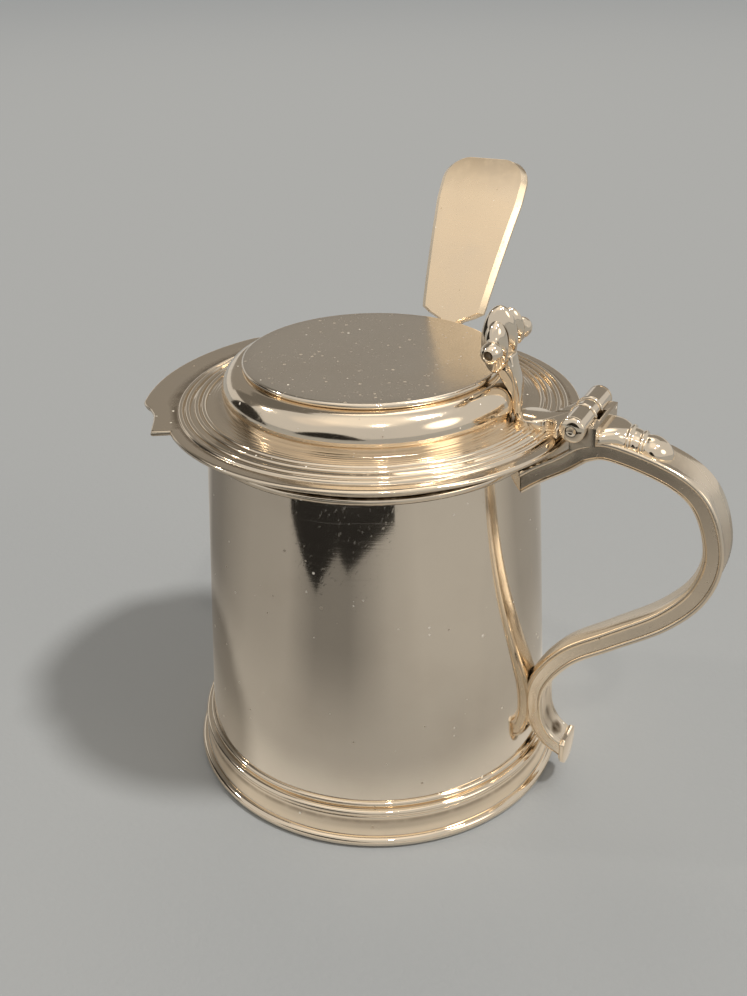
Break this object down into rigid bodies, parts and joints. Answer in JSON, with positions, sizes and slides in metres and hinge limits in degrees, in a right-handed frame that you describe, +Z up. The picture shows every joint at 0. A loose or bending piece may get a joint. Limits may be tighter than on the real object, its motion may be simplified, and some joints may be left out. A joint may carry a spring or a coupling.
{
  "type": "mustard pot",
  "caption": "Silver mustard pot in tankard form: tapered drum on a moulded foot, hinged lid with a flat top and corkscrew thumbpiece, scroll handle, and a loose fiddle-handled spoon.",
  "frame": {"origin": "on the drum's axis, at the level of the foot's underside", "axes": "+Z up; +X from the drum's axis to the handle and the hinge; the spoon leans to +Y"},
  "size_m": [0.099, 0.0816, 0.0994],
  "materials": {
    "silver_body": "polished silver with fine hairlines",
    "silver_mouldings": "polished silver, worn bright on its edges",
    "silver_handle": "polished silver, handled",
    "silver_hinge": "polished cast silver, darker in its recesses",
    "silver_lid": "satin polished silver with fine scratches",
    "silver_thumbpiece": "polished cast silver, darker in its recesses",
    "silver_spoon": "satin polished silver with fine scratches"
  },
  "bodies": {
    "pot": {"drum": "silver_body", "base_plate": "silver_body", "foot_moulding": "silver_mouldings", "rim_moulding": "silver_mouldings", "handle_channel": "silver_handle", "handle_back": "silver_handle", "handle_heel": "silver_handle", "hinge_bracket": "silver_hinge", "handle_knuckles": "silver_hinge", "handle_drop": "silver_handle", "hinge_pin": "silver_hinge", "pin_caps": "silver_hinge"},
    "lid": {"lid_cover": "silver_lid", "lid_bezel": "silver_lid", "lid_hinge_leaf": "silver_hinge", "lid_knuckle": "silver_hinge", "thumbpiece": "silver_thumbpiece"},
    "spoon": {"spoon": "silver_spoon"}
  },
  "joints": [
    {"name": "lid_hinge", "type": "hinge", "parent": "pot", "child": "lid", "pos_m": [0.0367, 0, 0.072], "axis": [0, 1, 0], "range_deg": [0, 105]},
    {"name": "spoon_lift", "type": "slide", "parent": "pot", "child": "spoon", "axis": [0, 0.4848, 0.8746], "range_m": [0, 0.03]}
  ]
}
